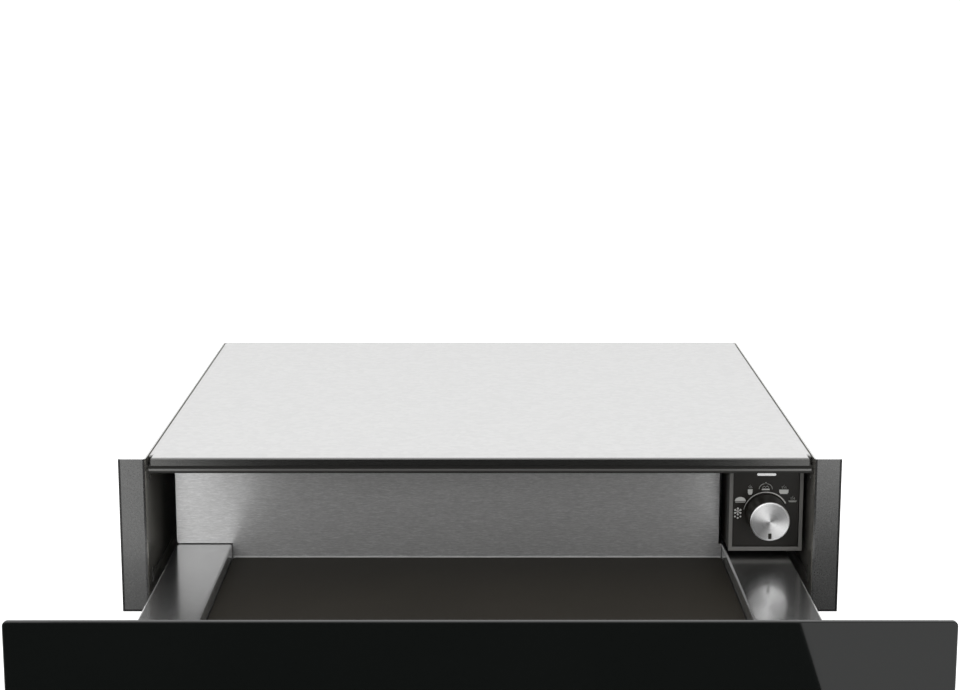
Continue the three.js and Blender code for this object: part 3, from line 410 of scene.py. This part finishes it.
def piece(name, mesh, body, slot, material=None):
    """Links a finished bmesh, drawn in metres in the frame, as a piece that rides on a body.

    A piece with no body is left unattached.
    """
    bmesh.ops.recalc_face_normals(mesh, faces=mesh.faces)
    data = bpy.data.meshes.new(name)
    mesh.to_mesh(data)
    mesh.free()
    data.materials.append(MATERIALS[material or slot])
    thing = bpy.data.objects.new(name, data)
    bpy.context.scene.collection.objects.link(thing)
    if body is not None:
        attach(thing, body)
    return thing


def bridge(mesh, rings):
    """Joins each closed ring of vertices to the next by a band of faces."""
    for ring, following in zip(rings, rings[1:]):
        count = len(ring)
        for k in range(count):
            j = (k + 1) % count
            mesh.faces.new((ring[k], ring[j], following[j], following[k]))


def add_bar(mesh, near, far):
    """Adds a closed solid between two outlines of as many points."""
    rings = [[mesh.verts.new(point) for point in outline] for outline in (near, far)]
    bridge(mesh, rings)
    mesh.faces.new(reversed(rings[0]))
    mesh.faces.new(rings[1])


def add_prism(mesh, outline, front, depth):
    """Adds an outline of (x, z) points, drawn at Y = front and carried back by depth."""
    add_bar(mesh, *([(x, y, z) for x, z in outline] for y in (front, front + depth)))


def add_length(mesh, ends, section):
    """Adds a bar along X between two ends, whose section is a list of (y, z) points."""
    add_bar(mesh, *([(x, y, z) for y, z in section] for x in ends))


def arc_points(centre, radius, start, end, steps, squash=1.0):
    """Points on an arc from start to end, in degrees counter-clockwise from the right."""
    points = []
    for i in range(steps + 1):
        angle = math.radians(start + (end - start) * i / steps)
        points.append((centre[0] + radius * math.cos(angle),
                       centre[1] + squash * radius * math.sin(angle)))
    return points


def stroke(path, *widths):
    """The outline of a line drawn along path, whose width runs from the first to the last."""
    left, right = [], []
    count = len(path)
    for i, point in enumerate(path):
        before = Vector(path[max(i - 1, 0)])
        after = Vector(path[min(i + 1, count - 1)])
        along = (after - before).normalized()
        half = (widths[0] + (widths[-1] - widths[0]) * i / (count - 1)) / 2
        left.append((point[0] - along.y * half, point[1] + along.x * half))
        right.append((point[0] + along.y * half, point[1] - along.x * half))
    return left + right[::-1]


# The symbols are drawn in millimetres from a point SYMBOL_RISE above the knob's axis.
PRINT_DEPTH = 0.08 * MM
SYMBOL_RISE = 1.0
STEAM = [(0, 0), (0.5, 0.8), (-0.4, 1.7), (0.3, 2.7)]
FLAKE_ARM = [(0.2, -0.25), (1.7, -0.3), (2.3, -0.85), (3.1, -0.85), (3.5, 0),
             (3.1, 0.85), (2.3, 0.85), (1.7, 0.3), (0.2, 0.25)]


def print_symbols():
    """Function symbols round the knob: defrost, bread, cup, cloche, pot and plate."""
    bright, faint = bmesh.new(), bmesh.new()

    def draw(mesh, outline, centre=(0, 0)):
        placed = [(KNOB.x + (centre[0] + x) * MM, KNOB.z + (centre[1] + z + SYMBOL_RISE) * MM)
                  for x, z in outline]
        add_prism(mesh, placed, FASCIA_FRONT - PRINT_DEPTH, 0.99 * PRINT_DEPTH)

    def draw_bowl(mesh, centre, half, tiers):
        """A shape that is the same on both sides, by its half widths at heights below 0."""
        rim = [(-half, 0), *((-x, z) for x, z in tiers)]
        draw(mesh, rim + [(-x, z) for x, z in reversed(rim)], centre)

    def draw_steam(mesh, centre, rise, spacing):
        for shift, size in ((-spacing, 0.75), (0, 1.15), (spacing, 0.75)):
            wisp = stroke([(shift + x, rise + z * size) for x, z in STEAM], 0.5, 0.35)
            draw(mesh, wisp, centre)

    draw(bright, stroke(arc_points((0, -1.2), 19, 168, 29, 48), 0.35, 1.1))

    flake = (-23.6, 1.0)
    for k in range(6):
        angle = math.radians(60 * k + 90)
        ray = Vector((math.cos(angle), math.sin(angle)))
        side = Vector((-ray.y, ray.x))
        draw(bright, [ray * a + side * b for a, b in FLAKE_ARM], flake)
    for drop in ((-2.3, -4.4), (0, -5.6), (2.3, -4.4)):
        draw(bright, arc_points(drop, 0.8, 0, 345, 11), flake)

    bun = (-21.7, 10.1)
    draw(bright, arc_points((0, 0), 4.6, 0, 180, 18, 0.78), bun)
    draw(faint, [(-4.6, -0.35), (-3.9, -1.5), (3.9, -1.5), (4.6, -0.35)], bun)

    cup = (-13.6, 20.3)
    draw_bowl(bright, cup, 2.0, [(1.9, -3.3), (1.0, -4.7)])
    draw_steam(faint, cup, 0.9, 1.1)

    lid = (-0.5, 20.4)
    draw(faint, stroke(arc_points((0, 0), 5.6, 0, 180, 16, 0.88), 0.65), lid)
    draw(faint, arc_points((0, 5.4), 0.75, 0, 330, 11), lid)
    draw(bright, [(-3.5, -0.8), (3.5, -0.8), (3.1, 0.5), (-3.1, 0.5)], lid)
    zigzag = [(-2.8, 1.4), (-1.5, 2.7), (-0.3, 1.7), (1.2, 2.8), (2.7, 1.4)]
    draw(faint, stroke(zigzag, 0.6), lid)

    pot = (14.8, 20.1)
    draw_bowl(bright, pot, 4.0, [(3.9, -2.4), (2.9, -3.8)])
    draw_steam(faint, pot, 0.9, 1.5)

    plate = (22.4, 10.6)
    draw_bowl(faint, plate, 3.7, [(2.9, -1.5)])
    draw_steam(faint, plate, 0.8, 1.4)

    piece("fascia_symbols", bright, "carcass", "pale_plastic", "print")
    piece("fascia_symbols_faint", faint, "carcass", "pale_plastic", "faint_print")


# A band of painted shade on each wing's outer and lower edge.
EDGE_BAND = 1.7 * MM
EDGE_FOOT = 21.0 * MM      # length of the band's lower part
EDGE_PROUD = 0.15 * MM
EDGE_SHADE_DEPTH = 0.14 * MM     # a little thinner, so that the wing doesn't touch it


def painted_shade_on_wings():
    """Painted shade: a dark band along the outer and lower edge of each wing's face."""
    for side, sign in (("left", -1), ("right", 1)):
        lowest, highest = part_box(f"carcass_side_{side}")
        outer = lowest.x if side == "left" else highest.x
        inner = outer - sign * EDGE_FOOT
        bend = outer - sign * EDGE_BAND
        base, top = lowest.z, highest.z
        outline = [(outer, top), (outer, base), (inner, base), (inner, base + EDGE_BAND),
                   (bend, base + EDGE_BAND), (bend, top)]
        mesh = bmesh.new()
        add_prism(mesh, outline, lowest.y - EDGE_PROUD, EDGE_SHADE_DEPTH)
        piece(f"wing_shade_band_{side}", mesh, "carcass", "dark_steel", "edge_painted_shade")


# Sections of the rail's strips, as (y, z) in millimetres from its front lower edge.
RAIL_SEAL = [(2.45, 3.9), (1.3, 3.9), (0.9, 4.3), (0.8, 5.0), (0.9, 5.8), (1.3, 6.2), (2.45, 6.2)]
# The strip under the lip is painted shade.
RAIL_UNDER_LIP_SHADE = [(0.55, 1.8), (0.35, 1.6), (0.35, 0.3), (0.6, 0.05), (1.5, 0.05)]


def rail_seal_and_shade_strips():
    """Soft black strips along the rail: a seal in its groove, whose black is also painted shade
    there, and a strip under its lip that is painted shade.
    """
    lowest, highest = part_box("front_rail")
    inset = 2.2 * MM
    ends = (lowest.x + inset, highest.x - inset)
    mesh = bmesh.new()
    for section in (RAIL_SEAL, RAIL_UNDER_LIP_SHADE):
        add_length(mesh, ends, [(lowest.y + y * MM, lowest.z + z * MM) for y, z in section])
    piece("rail_seal_and_shade_strips", mesh, "carcass", "black_plastic", "seal_and_shade_rubber")


BEAD_RADIUS = 0.7 * MM
BEAD_SUNK = 0.1 * MM       # its middle, below the mat's top


def wall_foot_bead():
    """The rounded bend at the foot of the rear wall, between it and the mat, pale as a painted
    highlight.
    """
    mat_low, mat_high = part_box("drawer_mat")
    centre = ((mat_high.y + low("drawer_rear_wall").y) / 2, mat_high.z - BEAD_SUNK)
    mesh = bmesh.new()
    add_length(mesh, (mat_low.x, mat_high.x), arc_points(centre, BEAD_RADIUS, 0, 324, 9))
    piece("wall_foot_bead", mesh, "drawer", "brushed_steel", "bead_painted_highlight")


# A screw head, in shares of its radius and height.
HEAD_PROFILE = [(1.0, 0.0), (1.0, 0.35), (0.93, 0.62), (0.78, 0.84), (0.56, 0.97)]
HEAD_SIDES = 16
CROSS_ARM, CROSS_WAIST, CROSS_DEPTH, CROSS_TAPER = 0.44, 0.11, 0.45, 0.85
CROSS_QUARTER = [(CROSS_ARM, -CROSS_WAIST), (CROSS_ARM, CROSS_WAIST), (CROSS_WAIST, CROSS_WAIST)]


def add_screw(mesh, place, outward, radius, height):
    """A pan-head screw with a cross recess, its head standing on place."""
    turn = Vector((0, 0, 1)).rotation_difference(Vector(outward)).to_matrix()

    def at(r, angle, h):
        local = Vector((r * radius * math.cos(angle), r * radius * math.sin(angle), h * height))
        return mesh.verts.new(Vector(place) + turn @ local)

    def rim_edges(ring):
        return [mesh.edges.get((ring[k - 1], ring[k])) for k in range(len(ring))]

    step = 2 * math.pi / HEAD_SIDES
    rings = [[at(r, (k + 0.5) * step, h) for k in range(HEAD_SIDES)] for r, h in HEAD_PROFILE]
    bridge(mesh, rings)
    mesh.faces.new(reversed(rings[0]))

    cross = []
    for quarter in range(4):
        turned = quarter * math.pi / 2
        for a, b in CROSS_QUARTER:
            cross.append((math.hypot(a, b), math.atan2(b, a) + turned))
    rim = [at(r, angle, 1.0) for r, angle in cross]
    base = [at(r * CROSS_TAPER, angle, 1.0 - CROSS_DEPTH) for r, angle in cross]
    bridge(mesh, [rim, base])
    mesh.faces.new(base)
    bmesh.ops.bridge_loops(mesh, edges=rim_edges(rim) + rim_edges(rings[-1]))


def screws(name, slot, outward, places, radius, height):
    mesh = bmesh.new()
    for place in places:
        add_screw(mesh, place, outward, radius, height)
    piece(name, mesh, "carcass", slot)


def fasteners():
    """Screws that hold the rear panel, and screws that hold the sides to top and base."""
    lowest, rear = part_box("carcass_rear")
    corner_in, corner_up, middle_x, edge_up = 12 * MM, 22 * MM, 120 * MM, 6 * MM
    places = [(x, z) for x in (lowest.x + corner_in, rear.x - corner_in)
              for z in (lowest.z + corner_up, rear.z - corner_up)]
    places += [(x, z) for x in (-middle_x, middle_x)
               for z in (lowest.z + edge_up, rear.z - edge_up)]
    screws("rear_screws", "zinc_steel", (0, 1, 0), [(x, rear.y, z) for x, z in places],
           radius=3.2 * MM, height=1.7 * MM)

    side_up, flange = 5 * MM, 1.8 * MM
    depths = [WING_PLANE + share * (rear.y - WING_PLANE) for share in (0.12, 0.5, 0.88)]
    for side, sign in (("left", -1), ("right", 1)):
        wall = sign * (high("carcass_top").x + flange)
        places = [(wall, y, z) for y in depths for z in (lowest.z + side_up, rear.z - side_up)]
        screws(f"side_screws_{side}", "dark_steel", (sign, 0, 0), places,
               radius=2.8 * MM, height=1.2 * MM)


def latch_spring():
    """The latch's spring round the plunger."""
    wire, turns, steps, sides = 0.7 * MM, 7, 24, 10
    lowest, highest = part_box("latch_spring")
    axis = middle("latch_plunger")
    coil = (highest.x - lowest.x) / 2 - wire
    start, end = lowest.y + wire, highest.y - wire
    along = Vector((0, 1, 0))
    mesh = bmesh.new()
    rings = []
    for i in range(turns * steps + 1):
        angle = 2 * math.pi * i / steps
        out = Vector((math.cos(angle), 0, math.sin(angle)))
        y = start + (end - start) * i / (turns * steps)
        centre = Vector((axis.x, y, axis.z)) + out * coil
        section = arc_points((0, 0), wire, 0, 360 * (sides - 1) / sides, sides - 1)
        rings.append([mesh.verts.new(centre + out * a + along * b) for a, b in section])
    bridge(mesh, rings)
    mesh.faces.new(reversed(rings[0]))
    mesh.faces.new(rings[-1])
    spring = piece("latch_coil", mesh, None, "zinc_steel")
    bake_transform(spring)
    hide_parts("latch_spring")


print_symbols()
painted_shade_on_wings()
rail_seal_and_shade_strips()
wall_foot_bead()
fasteners()
latch_spring()


# ---- Stage ----

FLOOR_HALF = 40
FLOOR_GLOW = 0.80
WORLD_LIGHT = 0.55
CARD_HEIGHT = 0.4 * MM
CARD_GAP = 2 * MM          # from the card to the object
GLASS_OVERHANG = 3 * MM    # of the black card, past the glass's left end
GLASS_STRIP = 54.5 * MM    # of the glass's right end, which keeps a grey reflection


def when_seen(tree, strength):
    """A strength that holds for camera, glossy and transmission rays, and is 0 for others."""
    path = tree.nodes.new("ShaderNodeLightPath")
    seen = path.outputs["Is Camera Ray"]
    for ray in ("Is Glossy Ray", "Is Transmission Ray"):
        either = tree.nodes.new("ShaderNodeMath")
        either.operation = "MAXIMUM"
        tree.links.new(seen, either.inputs[0])
        tree.links.new(path.outputs[ray], either.inputs[1])
        seen = either.outputs[0]
    amount = tree.nodes.new("ShaderNodeMath")
    amount.operation = "MULTIPLY"
    tree.links.new(seen, amount.inputs[0])
    amount.inputs[1].default_value = strength
    return amount.outputs[0]


def stage_plane(name, corners):
    """A flat stage object on four corners. Gives it and the nodes of its new material."""
    mesh = bpy.data.meshes.new(name)
    mesh.from_pydata(corners, [], [(0, 1, 2, 3)])
    plane = bpy.data.objects.new(name, mesh)
    bpy.context.scene.collection.objects.link(plane)
    n = Nodes(name)
    mesh.materials.append(n.material)
    return plane, n


def floor():
    """A pale floor that glows white where it is seen, and keeps the object's shadow."""
    half = FLOOR_HALF
    corners = [(-half, -half, 0), (half, -half, 0), (half, half, 0), (-half, half, 0)]
    plane, n = stage_plane("floor", corners)
    n.set(Base_Color=grey(0.8), Roughness=0.9, Emission_Color=grey(1),
          Emission_Strength=when_seen(n.tree, FLOOR_GLOW))


def world():
    """A white studio: strength 1 where it is seen, and less as light on the object."""
    studio = bpy.data.worlds.new("studio")
    bpy.context.scene.world = studio
    studio.use_nodes = True
    tree = studio.node_tree
    tree.nodes.clear()
    out = tree.nodes.new("ShaderNodeOutputWorld")
    background = tree.nodes.new("ShaderNodeBackground")
    background.inputs["Color"].default_value = grey(1)
    total = tree.nodes.new("ShaderNodeMath")
    total.operation = "ADD"
    tree.links.new(when_seen(tree, 1 - WORLD_LIGHT), total.inputs[0])
    total.inputs[1].default_value = WORLD_LIGHT
    tree.links.new(total.outputs[0], background.inputs["Strength"])
    tree.links.new(background.outputs[0], out.inputs["Surface"])


def card(name, tone, corners):
    """A card that lies on the floor and shows in reflections alone."""
    plane, n = stage_plane(name, [(x, y, CARD_HEIGHT) for x, y in corners])
    n.set(Base_Color=grey(tone), Roughness=1.0, Specular_IOR_Level=0)
    plane.visible_camera = False
    plane.visible_diffuse = False
    plane.visible_shadow = False
    plane.visible_transmission = False


# Cards beside the open tray: tone, inner and outer X, and start and end before the wings.
TRAY_CARDS = {"flag_left": (0.95, -0.20, -0.42, 0, 0.17),
              "flag_right": (0.24, 0.20, 0.42, 0, 0.27),
              "flag_far": (0.45, 0.31, 0.5, 0.29, 0.39)}


def cards():
    """A black card before the drawer darkens the front glass, apart from a strip at its right.

    The others lie beside the open tray and darken the lower parts of the wings.
    """
    near = low("front_glass").y - CARD_GAP
    left = low("front_glass").x - GLASS_OVERHANG
    right = high("front_glass").x - GLASS_STRIP
    reach, spread_left, spread_right = 0.7, 0.25, 0.06
    card("flag_front", 0.001, [(left, near), (right, near),
                               (right + spread_right * reach, near - reach),
                               (left - spread_left * reach, near - reach)])
    far = WING_PLANE - CARD_GAP
    for name, (tone, inner, outer, start, end) in TRAY_CARDS.items():
        card(name, tone, [(inner, far - end), (outer, far - end),
                          (outer, far - start), (inner, far - start)])


# Softboxes: place, target, size and power.
LAMPS = {"key": ((-1.6, -2.2, 2.0), (0, 0, 0.05), (3.1, 3.1), 25),
         "fill": ((1.9, -1.8, 1.5), (0, 0, 0.05), (2.2, 2.2), 13),
         "low": ((0, -3.2, 0.42), (0, 0, 0.1), (2.8, 0.7), 6.5),
         "top": ((0, 0.3, 2.4), (0, 0, 0), (2.8, 2.8), 17)}


def lamps():
    for name, (place, target, size, power) in LAMPS.items():
        light = bpy.data.lights.new(name, "AREA")
        light.shape = "RECTANGLE"
        light.size, light.size_y = size
        light.energy = power
        lamp = bpy.data.objects.new(name, light)
        lamp.location = place
        aim = Vector(target) - Vector(place)
        lamp.rotation_euler = aim.to_track_quat("-Z", "Y").to_euler()
        bpy.context.scene.collection.objects.link(lamp)
        lamp.visible_camera = False


CAMERA_BACK, CAMERA_HEIGHT = 1.5703, 0.5341
CAMERA_PITCH = 10.79       # degrees downwards
CAMERA_LENS, CAMERA_SENSOR = 73.57, 36


def camera():
    """Stands where the photograph was taken from: in front, half a metre up, looking down."""
    data = bpy.data.cameras.new("camera")
    data.sensor_width = CAMERA_SENSOR
    data.lens = CAMERA_LENS
    eye = bpy.data.objects.new("camera", data)
    eye.location = (0, WING_PLANE - CAMERA_BACK, CAMERA_HEIGHT)
    eye.rotation_euler = (math.radians(90 - CAMERA_PITCH), 0, 0)
    bpy.context.scene.collection.objects.link(eye)
    bpy.context.scene.camera = eye


floor()
world()
cards()
lamps()
camera()

bpy.context.scene.view_settings.view_transform = "Standard"
